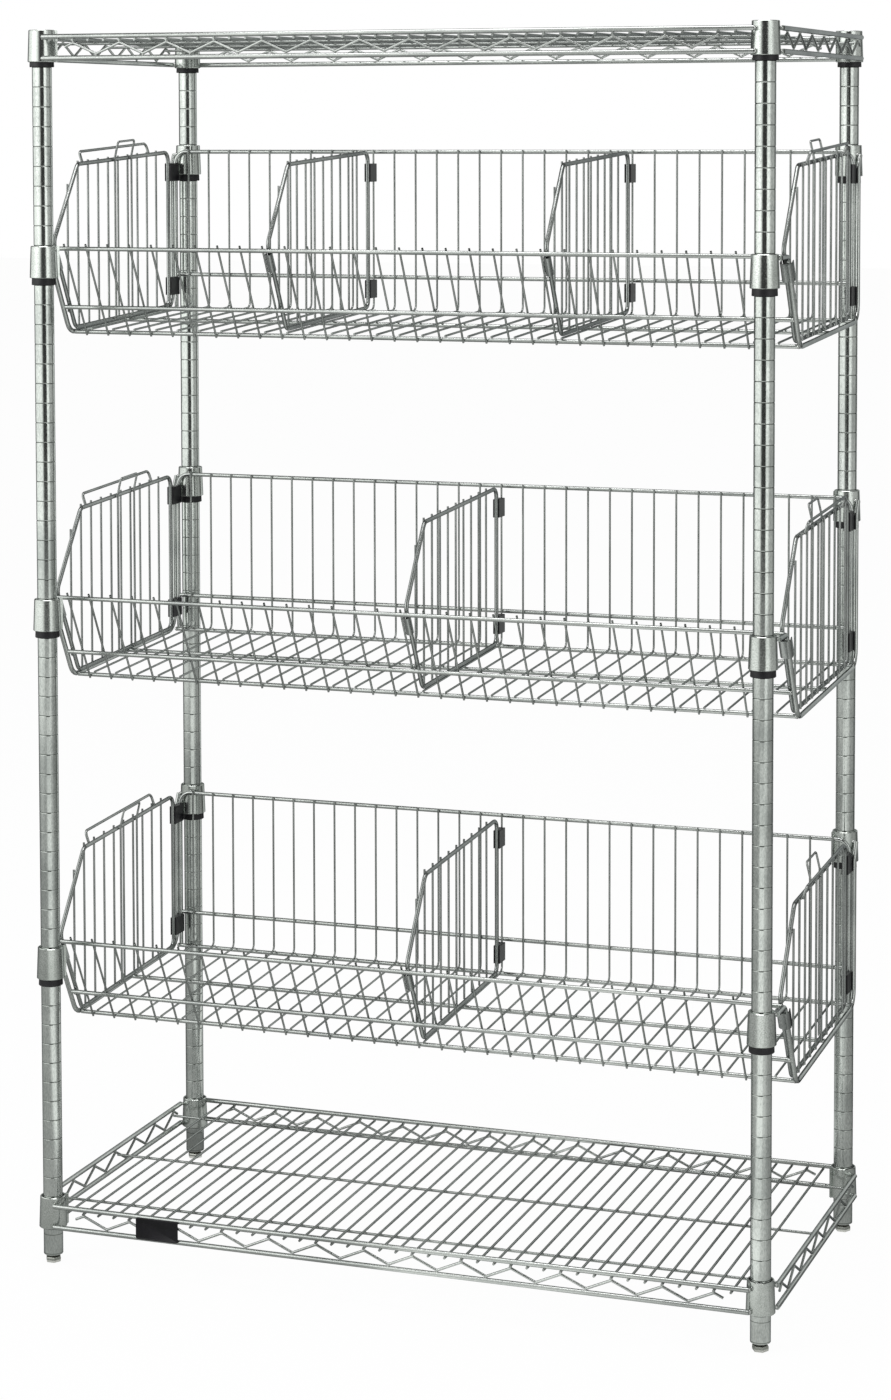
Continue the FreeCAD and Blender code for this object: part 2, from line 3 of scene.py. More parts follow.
import bmesh
import bpy
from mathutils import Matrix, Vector


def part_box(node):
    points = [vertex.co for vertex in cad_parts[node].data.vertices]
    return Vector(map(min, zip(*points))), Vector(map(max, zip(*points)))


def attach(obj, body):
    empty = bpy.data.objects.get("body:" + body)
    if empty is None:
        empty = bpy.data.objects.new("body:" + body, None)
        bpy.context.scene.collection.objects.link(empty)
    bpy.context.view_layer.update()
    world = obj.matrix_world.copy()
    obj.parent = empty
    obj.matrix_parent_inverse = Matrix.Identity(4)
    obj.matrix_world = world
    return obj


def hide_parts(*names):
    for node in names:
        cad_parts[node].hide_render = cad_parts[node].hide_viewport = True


# Wire basket stand. The frame is in metres; the stand's sizes are in millimetres, as in the part's source.
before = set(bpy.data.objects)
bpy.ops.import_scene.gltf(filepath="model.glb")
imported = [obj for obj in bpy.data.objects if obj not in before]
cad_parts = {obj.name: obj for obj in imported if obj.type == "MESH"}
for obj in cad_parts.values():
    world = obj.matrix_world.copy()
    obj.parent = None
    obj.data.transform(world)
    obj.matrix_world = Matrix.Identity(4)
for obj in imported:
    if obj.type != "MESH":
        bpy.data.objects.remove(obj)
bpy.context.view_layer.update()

MM = 0.001
fit_gap = 0.3
weld_gap = 0.1
X, Y, Z = Vector((1, 0, 0)), Vector((0, 1, 0)), Vector((0, 0, 1))
corners = {"front_left": (-1, -1), "front_right": (1, -1), "rear_left": (-1, 1), "rear_right": (1, 1)}

# Posts, sleeves and collars
post_x = 476.0
post_y = 228.5
post_radius = 12.7
post_inner_radius = 11.2
post_bottom = 10.4
post_top = 1608.0
notch_pitch = 25.4
first_notch = 38.0
notch_half_width = 0.75
notch_depth = 0.45
notch_shoulder = 0.35
section_joining_distance = 0.02
notch_outline = [(0.0, 1.0), (0.35, 0.8), (0.7, 0.2), (1.0, 0.0)]
# The share of each groove's width whose floor gets painted shade, a darker tint
painted_shade_share_of_notch = 0.7
tube_end_depth = 3.0
tube_foot_edge = [(0.9, 0.0), (0.3, 0.3), (0.0, 1.0)]
tube_top_edge = [(0.0, 0.6), (0.5, 0.0)]
cap_gap = 0.1
cap_skirt = 8.0
cap_rise = 1.4
cap_edge = [(0.2, 0.0), (0.0, 0.25), (0.5, 0.9), (2.5, 1.25)]
sleeve_height = 41.0
sleeve_wall_bottom = 3.1
sleeve_wall_top = 1.6
sleeve_gap = 0.2
sleeve_bore_edge = 0.4
sleeve_edge = 0.5
sleeve_foot_edge = 0.6
sleeve_slit_angle = 8.0
sleeve_steps = 26
collar_height = 41.0
collar_wall = 2.0
collar_gap = 0.35
collar_edge = 0.7
collar_bore_edge = 0.4
collar_bore_rise = 0.3
wing_root = 1.0
wing_reach = 3.0
wing_thickness = 3.0
wing_edge = 0.9
round_steps = 48

# Feet
foot_hex_radius = 10.4
foot_hex_height = 6.6
foot_hex_edge = 1.0
foot_hex_taper = 0.95
foot_hex_sharp_angle = 25.0
foot_stem_radius = 4.5
foot_stem_length = 32.0
thread_pitch = 1.25
thread_depth = 0.45
thread_tip_inset = 0.6
thread_steps = 24
socket_nose_radius = 7.0
socket_nose_gap = 0.5
socket_edge = 0.6
socket_nose_rise = 0.7
socket_shoulder = 0.4
socket_play = 0.25
socket_top = 40.4

# Wires
rail_diameter = 6.4
mat_wire_diameter = 3.2
truss_wire_diameter = 3.4
basket_rail_diameter = 5.6
basket_wire_diameter = 2.8
picket_diameter = 3.0
end_frame_diameter = 6.4
thick_wire = 5.0
thick_sides = 16
thin_sides = 10
bend_steps = 5
large_bead = 2.0

# Levels: the notch of the front sleeves, the notches the rear ones stand higher, the sleeves' rise above the
# notch and the collars' rise above the sleeves
levels = {
    "bottom_shelf": (0, 0, 8.0, 1.0),
    "basket_3": (13, 5, 0.0, 9.0),
    "basket_2": (31, 5, 0.0, 9.0),
    "basket_1": (49, 5, 0.0, 9.0),
    "top_shelf": (60, 0, 0.0, 6.5),
}

# Shelves
shelf_top_rail_drop = 9.0
shelf_rail_spacing = 27.5
shelf_rail_inset = 10.0
truss_pitch = 65.0
truss_bend = 4.5
truss_weld_drop = 1.5
truss_weld_radius = 1.9
rail_weld_radius = 2.9
rail_weld_shift = 1.6
mat_wires_per_wave = 3
mat_wire_count = 42
side_rod_y = 187.0
mat_end_inset = 1.7
mat_end_radius = 1.6
mat_weld_radius = 1.7
mat_weld_drop = 1.7
mat_weld_rise = 1.6
long_truss_waves = 13
short_truss_waves = 6
truss_tail_share = 0.36
truss_collar_gap = 0.3

# Basket section
front_rail_y = -182.0
rear_rail_y = 208.7
front_rail_height = 45.0
back_rail_height = 168.0
back_middle_rail_height = -5.0
front_lower_rail_height = -33.5
floor_front_height = -68.0
floor_rear_height = -54.0
front_slope = 0.55
floor_rail_y = 52.0
wire_tip = 4.2
back_wire_tip = 3.0
lower_wire_tip = 2.0
wire_bend = 9.0
basket_wire_count = 31
basket_wire_pitch = 31.0
front_wire_shift = 6.1
end_frame_x = 493.0
end_frame_bend = 24.0
end_frame_top_bend = 12.0
end_frame_shoulder = 22.0
end_frame_shoulder_bend = 14.0
end_frame_rear_drop = 4.0
end_frame_seat = 1.5
end_frame_weld_radius = 3.2
end_frame_weld_shift = 3.0
hoop_x = 486.5
hoop_bend = 16.0
hoop_foot_gap = 0.2
hoop_weld_radius = 3.6
hoop_weld_inset = 5.0
hoop_weld_back = 2.2
wire_weld_radius = 1.45
rail_end_weld_radius = 2.8
front_weld_radius = 3.0
front_weld_gap = 0.5

# End panels and dividers
panel_rear_gap = 22.0
panel_kink_height = 53.0
panel_top_front = (-106.0, 154.0)
panel_top_rear_height = 167.5
panel_kink_bend = 14.0
panel_top_bend = 12.0
panel_nose_bend = 13.0
picket_pitch = 31.0
picket_count = 10
picket_tip = 4.0
picket_weld_radius = 1.5
panel_side_gap = 0.6
end_panel_gap = 0.9
clip_height = 25.0
clip_wall = 1.4
clip_reach = 1.2
clip_slot_gap = 0.35
clip_edge = 0.35
clip_below_rail = 0.5
channel_length = 26.0
channel_wall = 1.2
channel_drop = 5.0
channel_bend = 5.0
channel_bend_share = 0.9
channel_bend_steps = 6
channel_edge = 0.25
channel_floor_gap = 0.4
divider_channel_gap = 0.2
loop_diameter = 3.8
loop_height = 15.0
loop_ys = (-81.0, 129.0)
loop_lean = 5.0
loop_bend = 6.0
loop_weld_radius = 1.9
hairpin_ys = (0.0, 52.0)
hairpin_height = 24.0
hairpin_lean = 5.0
hairpin_bend = 4.0
badge_bend = 2.5
badge_least_bend = 0.4
badge_bend_steps = 4
badge_edge = 0.4
badge_rim = 1.6
badge_rim_slope = 0.3
badge_rim_height = 0.35
badge_sharp_angle = 50.0
divider_wires = {
    "basket_1_divider_left": ("basket_1", 9),
    "basket_1_divider_right": ("basket_1", 21),
    "basket_2_divider": ("basket_2", 15),
    "basket_3_divider": ("basket_3", 15),
}


# Nodes

def feed(tree, node, inputs):
    """Links or sets the node's inputs."""
    for name, value in inputs.items():
        if isinstance(value, bpy.types.NodeSocket):
            tree.links.new(value, node.inputs[name])
        else:
            node.inputs[name].default_value = value


def step(tree, kind, inputs, **settings):
    """The outputs of a new node."""
    node = tree.nodes.new(kind)
    for name, value in settings.items():
        setattr(node, name, value)
    feed(tree, node, inputs)
    return node.outputs


def calculated(tree, operation, first, second):
    return step(tree, "ShaderNodeMath", {0: first, 1: second}, operation=operation)["Value"]


# Materials

# The groove tint is painted shade: a darker tint on the floor of the post's grooves
groove_painted_shade = (0.32, 0.34, 0.32)
edge_tint = (0.35, 0.36, 0.37)
plating_cloud_scale = 14.0
plating_cloud_detail = 4.0
plating_speck_detail = 5.0
plating_relief = 0.2
plating_dark_until = 0.14
plating_light_from = 0.34
plastic_cloud_scale = 60.0
plastic_cloud_detail = 3.0
plastic_texture_detail = 2.0
plastic_relief = 0.1
plastic_gloss = 0.3
plastic_dark_until = 0.35
plastic_light_from = 0.7


def shader(name):
    material = bpy.data.materials.new(name)
    material.use_nodes = True
    return material, material.node_tree, material.node_tree.nodes["Principled BSDF"]


def noise_on_object(tree, scale, detail, stretch=(1, 1, 1)):
    place = step(tree, "ShaderNodeTexCoord", {})["Object"]
    stretched = step(tree, "ShaderNodeMapping", {"Vector": place, "Scale": stretch})["Vector"]
    return step(tree, "ShaderNodeTexNoise", {"Vector": stretched, "Scale": scale, "Detail": detail})["Fac"]


def ramp(tree, factor, low, dark, high, light):
    """The dark colour up to the low value, the light one from the high value, and a blend between them."""
    colour = step(tree, "ShaderNodeValToRGB", {"Fac": factor})["Color"]
    for stop, position, tint in zip(colour.node.color_ramp.elements, (low, high), (dark, light)):
        stop.position = position
        stop.color = (*tint, 1)
    return colour


def span(tree, factor, low, high):
    return step(tree, "ShaderNodeMapRange", {"Value": factor, "To Min": low, "To Max": high})["Result"]


def bump(tree, height, strength, depth):
    return step(tree, "ShaderNodeBump", {"Height": height, "Strength": strength, "Distance": depth * MM})["Normal"]


def with_painted_groove_shade(tree, tint):
    """The tint with painted shade, a darker tint, on the floor of the post's grooves, one at every notch."""
    place = step(tree, "ShaderNodeTexCoord", {})["Object"]
    height = step(tree, "ShaderNodeSeparateXYZ", {"Vector": place})["Z"]
    above = calculated(tree, "SUBTRACT", height, first_notch * MM)
    from_notch = calculated(tree, "PINGPONG", above, notch_pitch / 2 * MM)
    painted_shade_mask = calculated(tree, "LESS_THAN", from_notch, notch_half_width * painted_shade_share_of_notch * MM)
    return step(tree, "ShaderNodeMixRGB", {"Fac": painted_shade_mask, "Color1": tint, "Color2": (*groove_painted_shade, 1)})["Color"]


def plated(name, dark, light, roughness, grain, relief, stretch=(1, 1, 1), notched=False):
    """Plated steel: a cloudy tint, fine specks, and a slightly wavy plating; if notched, painted shade on the floor
    of the post's grooves.
    """
    material, tree, surface = shader(name)
    clouds = noise_on_object(tree, plating_cloud_scale, plating_cloud_detail)
    specks = noise_on_object(tree, grain, plating_speck_detail, stretch)
    mixed = calculated(tree, "MULTIPLY", clouds, specks)
    tint = ramp(tree, mixed, plating_dark_until, dark, plating_light_from, light)
    # If notched, the base colour carries painted shade on the floor of every groove
    feed(tree, surface, {
        "Base Color": with_painted_groove_shade(tree, tint) if notched else tint, "Metallic": 1.0, "Specular Tint": (*edge_tint, 1),
        "Roughness": span(tree, specks, *roughness), "Normal": bump(tree, specks, relief, plating_relief),
    })
    return material


def moulded(name, dark, light, roughness, grain, relief):
    """Moulded plastic with a fine spark-eroded texture."""
    material, tree, surface = shader(name)
    clouds = noise_on_object(tree, plastic_cloud_scale, plastic_cloud_detail)
    texture = noise_on_object(tree, grain, plastic_texture_detail)
    feed(tree, surface, {
        "Base Color": ramp(tree, clouds, plastic_dark_until, dark, plastic_light_from, light),
        "Roughness": span(tree, texture, *roughness), "Normal": bump(tree, texture, relief, plastic_relief),
        "Specular IOR Level": plastic_gloss,
    })
    return material


bright_wire = plated("plated_wire", (0.30, 0.315, 0.305), (0.52, 0.54, 0.525), (0.14, 0.30), 900.0, 0.25)
panel_wire = plated("plated_panel_wire", (0.30, 0.315, 0.31), (0.52, 0.535, 0.525), (0.14, 0.30), 900.0, 0.25)
bright_rail = plated("plated_rail", (0.50, 0.52, 0.51), (0.78, 0.80, 0.78), (0.08, 0.22), 900.0, 0.2)
# The tube's material paints shade on the floor of every groove
bright_tube = plated("plated_tube", (0.60, 0.63, 0.61), (0.92, 0.95, 0.92), (0.06, 0.20), 700.0, 0.18,
                     stretch=(1, 1, 0.35), notched=True)
bright_collar = plated("plated_collar", (0.56, 0.59, 0.56), (0.88, 0.91, 0.88), (0.09, 0.26), 650.0, 0.25)
weld_metal = plated("weld_metal", (0.45, 0.46, 0.45), (0.86, 0.87, 0.85), (0.12, 0.30), 500.0, 0.6)
zinc_foot = plated("zinc_foot", (0.34, 0.35, 0.32), (0.60, 0.61, 0.57), (0.28, 0.5), 800.0, 0.35)
black_sleeve = moulded("black_sleeve", (0.010, 0.010, 0.011), (0.022, 0.022, 0.024), (0.38, 0.56), 2200.0, 0.3)
black_clip = moulded("black_clip", (0.008, 0.008, 0.010), (0.020, 0.020, 0.022), (0.30, 0.48), 1800.0, 0.25)
grey_cap = moulded("grey_cap", (0.16, 0.17, 0.17), (0.22, 0.23, 0.23), (0.35, 0.5), 1500.0, 0.2)
badge_black = moulded("badge_black", (0.005, 0.005, 0.006), (0.010, 0.009, 0.012), (0.40, 0.60), 1200.0, 0.12)


# Node trees

sharp_edge_angle = 0.9
bead_size_low = 0.8
bead_size_high = 1.2


def new_tree(name, inputs):
    """A tree with a geometry, the named inputs and a material, and its two ends."""
    tree = bpy.data.node_groups.new(name, "GeometryNodeTree")
    for label, kind in {"Geometry": "Geometry", **inputs, "Material": "Material"}.items():
        tree.interface.new_socket(label, in_out="INPUT", socket_type="NodeSocket" + kind)
    tree.interface.new_socket("Geometry", in_out="OUTPUT", socket_type="NodeSocketGeometry")
    return tree, tree.nodes.new("NodeGroupInput").outputs, tree.nodes.new("NodeGroupOutput").inputs


def smoothed(tree, mesh):
    """Smooth shading with the sharp edges kept."""
    smooth = step(tree, "GeometryNodeSetShadeSmooth", {"Geometry": mesh}, domain="FACE")["Geometry"]
    angle = step(tree, "GeometryNodeInputMeshEdgeAngle", {})["Unsigned Angle"]
    sharp = calculated(tree, "GREATER_THAN", angle, sharp_edge_angle)
    inputs = {"Geometry": smooth, "Selection": sharp, "Shade Smooth": False}
    return step(tree, "GeometryNodeSetShadeSmooth", inputs, domain="EDGE")["Geometry"]


def row_of(tree, mesh, given):
    """The mesh set out Count times, a Step apart."""
    places = step(tree, "GeometryNodeMeshLine", {"Count": given["Count"], "Offset": given["Step"]}, mode="OFFSET")
    row = step(tree, "GeometryNodeInstanceOnPoints", {"Points": places["Mesh"], "Instance": mesh})["Instances"]
    return step(tree, "GeometryNodeRealizeInstances", {"Geometry": row})["Geometry"]


def give_out(tree, mesh, given, result):
    """The tree's result, in its material."""
    done = step(tree, "GeometryNodeSetMaterial", {"Geometry": mesh, "Material": given["Material"]})["Geometry"]
    tree.links.new(done, result["Geometry"])
    return tree


def bent_wire_tree():
    """Round wires along the edges of a mesh, bent at its points by their own radius, in a row."""
    inputs = {"Diameter": "Float", "Sides": "Int", "Bend Steps": "Int", "Count": "Int", "Step": "Vector"}
    tree, given, result = new_tree("bent_wires", inputs)
    line = step(tree, "GeometryNodeMeshToCurve", {"Mesh": given["Geometry"]})["Curve"]
    radius = step(tree, "GeometryNodeInputNamedAttribute", {"Name": "bend"}, data_type="FLOAT")["Attribute"]
    inputs = {"Curve": line, "Count": given["Bend Steps"], "Radius": radius, "Limit Radius": True}
    bent = step(tree, "GeometryNodeFilletCurve", inputs, mode="POLY")["Curve"]
    half = calculated(tree, "MULTIPLY", given["Diameter"], 0.5)
    section = step(tree, "GeometryNodeCurvePrimitiveCircle", {"Resolution": given["Sides"], "Radius": half})["Curve"]
    inputs = {"Curve": bent, "Profile Curve": section, "Fill Caps": True}
    mesh = step(tree, "GeometryNodeCurveToMesh", inputs)["Mesh"]
    return give_out(tree, row_of(tree, smoothed(tree, mesh), given), given, result)


def repeated_tree():
    """One section set out in a row, with the meeting points joined."""
    inputs = {"Count": "Int", "Step": "Vector", "Joining Distance": "Float"}
    tree, given, result = new_tree("repeated_sections", inputs)
    real = row_of(tree, given["Geometry"], given)
    inputs = {"Geometry": real, "Distance": given["Joining Distance"]}
    joined = step(tree, "GeometryNodeMergeByDistance", inputs)["Geometry"]
    return give_out(tree, smoothed(tree, joined), given, result)


def weld_bead_tree():
    """A small uneven bead of weld on every point of a mesh."""
    inputs = {"Bead Radius": "Float", "Roundness": "Int", "Seed": "Int"}
    tree, given, result = new_tree("weld_beads", inputs)
    inputs = {"Radius": given["Bead Radius"], "Subdivisions": given["Roundness"]}
    bead = step(tree, "GeometryNodeMeshIcoSphere", inputs)
    inputs = {"Min": [bead_size_low] * 3, "Max": [bead_size_high] * 3, "Seed": given["Seed"]}
    size = step(tree, "FunctionNodeRandomValue", inputs, data_type="FLOAT_VECTOR")[0]
    inputs = {"Points": given["Geometry"], "Instance": bead["Mesh"], "Scale": size}
    beads = step(tree, "GeometryNodeInstanceOnPoints", inputs)["Instances"]
    real = step(tree, "GeometryNodeRealizeInstances", {"Geometry": beads})["Geometry"]
    smooth = step(tree, "GeometryNodeSetShadeSmooth", {"Geometry": real}, domain="FACE")["Geometry"]
    return give_out(tree, smooth, given, result)


bent_wires = bent_wire_tree()
repeated_sections = repeated_tree()
weld_beads = weld_bead_tree()


def grown(mesh, tree, values):
    """The plain mesh that a node tree makes from a small one."""
    seed = bpy.data.objects.new("seed", mesh)
    bpy.context.scene.collection.objects.link(seed)
    modifier = seed.modifiers.new("shape", "NODES")
    modifier.node_group = tree
    for item in tree.interface.items_tree:
        if item.in_out == "INPUT" and item.name in values:
            modifier[item.identifier] = values[item.name]
    graph = bpy.context.evaluated_depsgraph_get()
    result = bpy.data.meshes.new_from_object(seed.evaluated_get(graph))
    seed.modifiers.remove(modifier)
    bpy.data.objects.remove(seed)
    return result


def wires(paths, diameter, material=bright_wire, count=1, spacing=(0, 0, 0), closed=False):
    """Round wires. A path is a list of points, or of (point, bend radius)."""
    points, edges, bends = [], [], []
    for path in paths:
        first = len(points)
        for item in path:
            point, bend = item if isinstance(item, tuple) else (item, 0.0)
            points.append(point * MM)
            bends.append(bend * MM)
        edges += [(i, i + 1) for i in range(first, len(points) - 1)]
        if closed:
            edges.append((len(points) - 1, first))
    line = bpy.data.meshes.new("line")
    line.from_pydata(points, edges, [])
    line.attributes.new("bend", "FLOAT", "POINT").data.foreach_set("value", bends)
    return grown(line, bent_wires, {
        "Diameter": diameter * MM, "Sides": thick_sides if diameter > thick_wire else thin_sides,
        "Bend Steps": bend_steps, "Count": count, "Step": [v * MM for v in spacing], "Material": material,
    })


def beads(points, radius, seed):
    """Weld beads at the points."""
    spots = bpy.data.meshes.new("spots")
    spots.from_pydata([point * MM for point in points], [], [])
    roundness = 2 if radius > large_bead else 1
    values = {"Bead Radius": radius * MM, "Roundness": roundness, "Seed": seed, "Material": weld_metal}
    return grown(spots, weld_beads, values)


# Meshes made by hand

joining_distance = 0.002
sharp_angle = 40.0
prism_sharp_angle = 30.0
bevel_from_angle = 0.6


def ringed(rings, closed_way, closed_outline=True):
    """A mesh whose quads join each ring of points to the next."""
    mesh = bmesh.new()
    rows = [[mesh.verts.new(point * MM) for point in ring] for ring in rings]
    count = len(rings)
    for i in range(count if closed_way else count - 1):
        here, there = rows[i], rows[(i + 1) % count]
        for k in range(len(here) if closed_outline else len(here) - 1):
            j = (k + 1) % len(here)
            mesh.faces.new((here[k], here[j], there[j], there[k]))
    if not closed_way and closed_outline:
        mesh.faces.new(rows[0])
        mesh.faces.new(rows[-1])
    bmesh.ops.remove_doubles(mesh, verts=mesh.verts, dist=joining_distance * MM)
    bmesh.ops.recalc_face_normals(mesh, faces=mesh.faces)
    return mesh


def finished(mesh, material, angle=sharp_angle):
    """A plain smooth mesh, with edges beyond the angle left sharp."""
    made = bpy.data.meshes.new("part")
    mesh.to_mesh(made)
    mesh.free()
    made.materials.append(material)
    made.shade_smooth()
    made.set_sharp_from_angle(angle=math.radians(angle))
    return made


def outward(degrees):
    angle = math.radians(degrees)
    return Vector((math.cos(angle), math.sin(angle), 0))


def turned(profile, centre, material, steps=round_steps, start=0.0, sweep=360.0, closed_outline=True):
    """An outline of (radius, height) turned about an upright axis."""
    closed_way = sweep == 360.0
    rings = []
    for k in range(steps if closed_way else steps + 1):
        out = outward(start + sweep * k / steps)
        rings.append([centre + out * r + Z * z for r, z in profile])
    return finished(ringed(rings, closed_way, closed_outline), material)


def extruded(outline, along, material, edge=0.0):
    """A prism from an outline, with its edges rounded."""
    mesh = ringed([outline, [point + along for point in outline]], False)
    if edge:
        sharp = [e for e in mesh.edges if e.calc_face_angle(0) > bevel_from_angle]
        bmesh.ops.bevel(mesh, geom=sharp, offset=edge * MM, segments=2, affect="EDGES", clamp_overlap=True)
        bmesh.ops.recalc_face_normals(mesh, faces=mesh.faces)
    return finished(mesh, material, prism_sharp_angle)


def piece(name, body, nodes, meshes):
    """One object from several meshes. It stands for the CAD nodes and rides on their body."""
    joined = bmesh.new()
    materials = []
    for mesh in meshes:
        material = [made for made in mesh.materials if made][0]
        if material not in materials:
            materials.append(material)
        for polygon in mesh.polygons:
            polygon.material_index = materials.index(material)
        joined.from_mesh(mesh)
    mesh = bpy.data.meshes.new(name)
    joined.to_mesh(mesh)
    joined.free()
    for material in materials:
        mesh.materials.append(material)
    obj = bpy.data.objects.new(name, mesh)
    bpy.context.scene.collection.objects.link(obj)
    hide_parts(*nodes)
    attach(obj, body)


def wire_piece(node, body, meshes):
    piece(node + "_wires", body, [node], meshes)


# Places

def sleeve_bottom(level, side):
    notches, rear_rise, sleeve_rise = levels[level][:3]
    return first_notch + (notches + (rear_rise if side > 0 else 0)) * notch_pitch + sleeve_rise


def collar_bottom(level, side):
    return sleeve_bottom(level, side) + levels[level][3]


def post_axis(sx, sy):
    return Vector((sx * post_x, sy * post_y, 0))


collar_radius_bottom = post_radius + sleeve_wall_bottom + collar_gap + collar_wall
collar_radius_top = post_radius + sleeve_wall_top + collar_gap + collar_wall


def collar_radius(level, side, height):
    share = (height - collar_bottom(level, side)) / collar_height
    return collar_radius_bottom + (collar_radius_top - collar_radius_bottom) * share


# Posts, caps, sockets and feet

def post(centre):
    """A tube with a rolled groove at every notch."""
    half = notch_pitch / 2
    low = first_notch + half
    count = int((post_top - low) / notch_pitch)
    high = low + count * notch_pitch
    above = [(notch_half_width * share, depth) for share, depth in notch_outline]
    above += [(notch_half_width + notch_shoulder, 0), (half, 0)]
    groove = [(-z, depth) for z, depth in above[:0:-1]] + above
    outline = [(post_radius - notch_depth * depth, low + half + z) for z, depth in groove]
    section = turned(outline, centre, bright_tube, closed_outline=False)
    notched = grown(section, repeated_sections, {
        "Count": count, "Step": (0, 0, notch_pitch * MM), "Joining Distance": section_joining_distance * MM,
        "Material": bright_tube,
    })
    foot_end = [(post_inner_radius, post_bottom + tube_end_depth), (post_inner_radius, post_bottom)]
    foot_end += [(post_radius - inset, post_bottom + rise) for inset, rise in tube_foot_edge] + [(post_radius, low)]
    top_end = [(post_radius, high)] + [(post_radius - inset, post_top - drop) for inset, drop in tube_top_edge]
    top_end += [(post_inner_radius, post_top), (post_inner_radius, post_top - tube_end_depth)]
    return [notched] + [turned(end, centre, bright_tube, closed_outline=False) for end in (foot_end, top_end)]


def cap(centre):
    """A plastic cap with a low crown and a skirt inside the tube."""
    rim = post_top + cap_gap
    skirt = post_inner_radius - fit_gap
    crown = [(post_radius - inset, rim + rise) for inset, rise in cap_edge] + [(0, rim + cap_rise)]
    return turned([(0, rim - cap_skirt), (skirt, rim - cap_skirt), (skirt, rim)] + crown, centre, grey_cap)


def socket(centre):
    """A threaded socket in the tube's end, with a tapered nose round the foot's stem."""
    fit = post_inner_radius - socket_play
    bore = foot_stem_radius + fit_gap
    nose = foot_hex_height + socket_nose_gap
    profile = [(bore, nose), (socket_nose_radius, nose), (socket_nose_radius + socket_edge, nose + socket_nose_rise),
               (fit - socket_edge, post_bottom - socket_edge), (fit, post_bottom + socket_shoulder),
               (fit, socket_top), (bore, socket_top)]
    return turned(profile, centre, zinc_foot)


def foot(centre):
    """A hexagon with turned-off corners, and its threaded stem."""
    narrow = foot_hex_radius * foot_hex_taper
    side = [(narrow, 0.0), (foot_hex_radius, foot_hex_edge),
            (foot_hex_radius, foot_hex_height - foot_hex_edge), (narrow, foot_hex_height)]
    hexagon = [[centre + outward(60 * k) * r + Z * z for k in range(6)] for r, z in side]
    thread = [(0, foot_hex_height)]
    turns = int((foot_stem_length - foot_hex_height) / thread_pitch)
    for i in range(turns):
        base = foot_hex_height + i * thread_pitch
        thread += [(foot_stem_radius - thread_depth, base), (foot_stem_radius, base + thread_pitch / 2)]
    thread += [(foot_stem_radius - thread_tip_inset, foot_stem_length), (0, foot_stem_length)]
    return [finished(ringed(hexagon, False), zinc_foot, foot_hex_sharp_angle),
            turned(thread, centre, zinc_foot, thread_steps)]


# Sleeves and collars

def sleeve(centre, bottom):
    """Two tapered half sleeves with a thin slit between them."""
    inner = post_radius + sleeve_gap
    low, high = post_radius + sleeve_wall_bottom, post_radius + sleeve_wall_top
    top = bottom + sleeve_height
    outline = [(inner, bottom + sleeve_bore_edge), (inner + sleeve_bore_edge, bottom),
               (low - sleeve_edge, bottom), (low, bottom + sleeve_foot_edge),
               (high, top - sleeve_edge), (high - sleeve_bore_edge, top), (inner, top)]
    slit = sleeve_slit_angle
    starts = (slit / 2, slit / 2 + 180)
    return [turned(outline, centre, black_sleeve, sleeve_steps, start, 180 - slit) for start in starts]


def collar(sx, sy, bottom):
    """A tapered ring with rounded edges and the upright wing on its inner corner."""
    centre = post_axis(sx, sy)
    top = bottom + collar_height
    low, high = collar_radius_bottom, collar_radius_top
    low_bore, high_bore = low - collar_wall, high - collar_wall
    outline = [(low_bore, bottom + collar_bore_rise), (low_bore + collar_bore_edge, bottom),
               (low - collar_edge, bottom), (low, bottom + collar_edge),
               (high, top - collar_edge), (high - collar_edge, top),
               (high_bore + collar_bore_rise, top), (high_bore, top - collar_bore_edge)]
    inward = Vector((-sx, -sy, 0)).normalized()
    side = inward.cross(Z) * (wing_thickness / 2)
    wing = ((low - wing_root, bottom), (low + wing_reach, bottom), (low + wing_reach, top), (high - wing_root, top))
    wing = [centre + inward * r + Z * z - side for r, z in wing]
    plate = extruded(wing, side * 2, bright_collar, wing_edge)
    return [turned(outline, centre, bright_collar), plate]


# Shelves

def truss(along, across, out, ends, waves, peak, lower, upper):
    """Two rails and the zigzag wire between them, with the welds where they meet and at the collars."""
    plane = across * out
    rails = [[plane - along * ends + Z * h, plane + along * ends + Z * h] for h in (upper, lower)]
    valley = lower + (rail_diameter + truss_wire_diameter) / 2 + weld_gap
    half = truss_pitch / 2
    first = -waves * half
    tail = truss_tail_share * half
    tail_height = peak - truss_tail_share * (peak - valley)
    path = [plane + along * (first - tail) + Z * tail_height]
    for i in range(2 * waves + 1):
        path.append((plane + along * (first + i * half) + Z * (valley if i % 2 else peak), truss_bend))
    path.append(plane + along * (tail - first) + Z * tail_height)
    spots = []
    for i, (point, bend) in enumerate(path[1:-1]):
        spots.append(point + Z * (-truss_weld_drop if i % 2 else truss_weld_drop))
    into_stand = across * (-math.copysign(rail_weld_shift, out))
    ends_of_rails = [point + into_stand for rail in rails for point in rail]
    return [wires(rails, rail_diameter, bright_rail),
            wires([path], truss_wire_diameter, bright_rail),
            beads(spots, truss_weld_radius, 3), beads(ends_of_rails, rail_weld_radius, 7)]


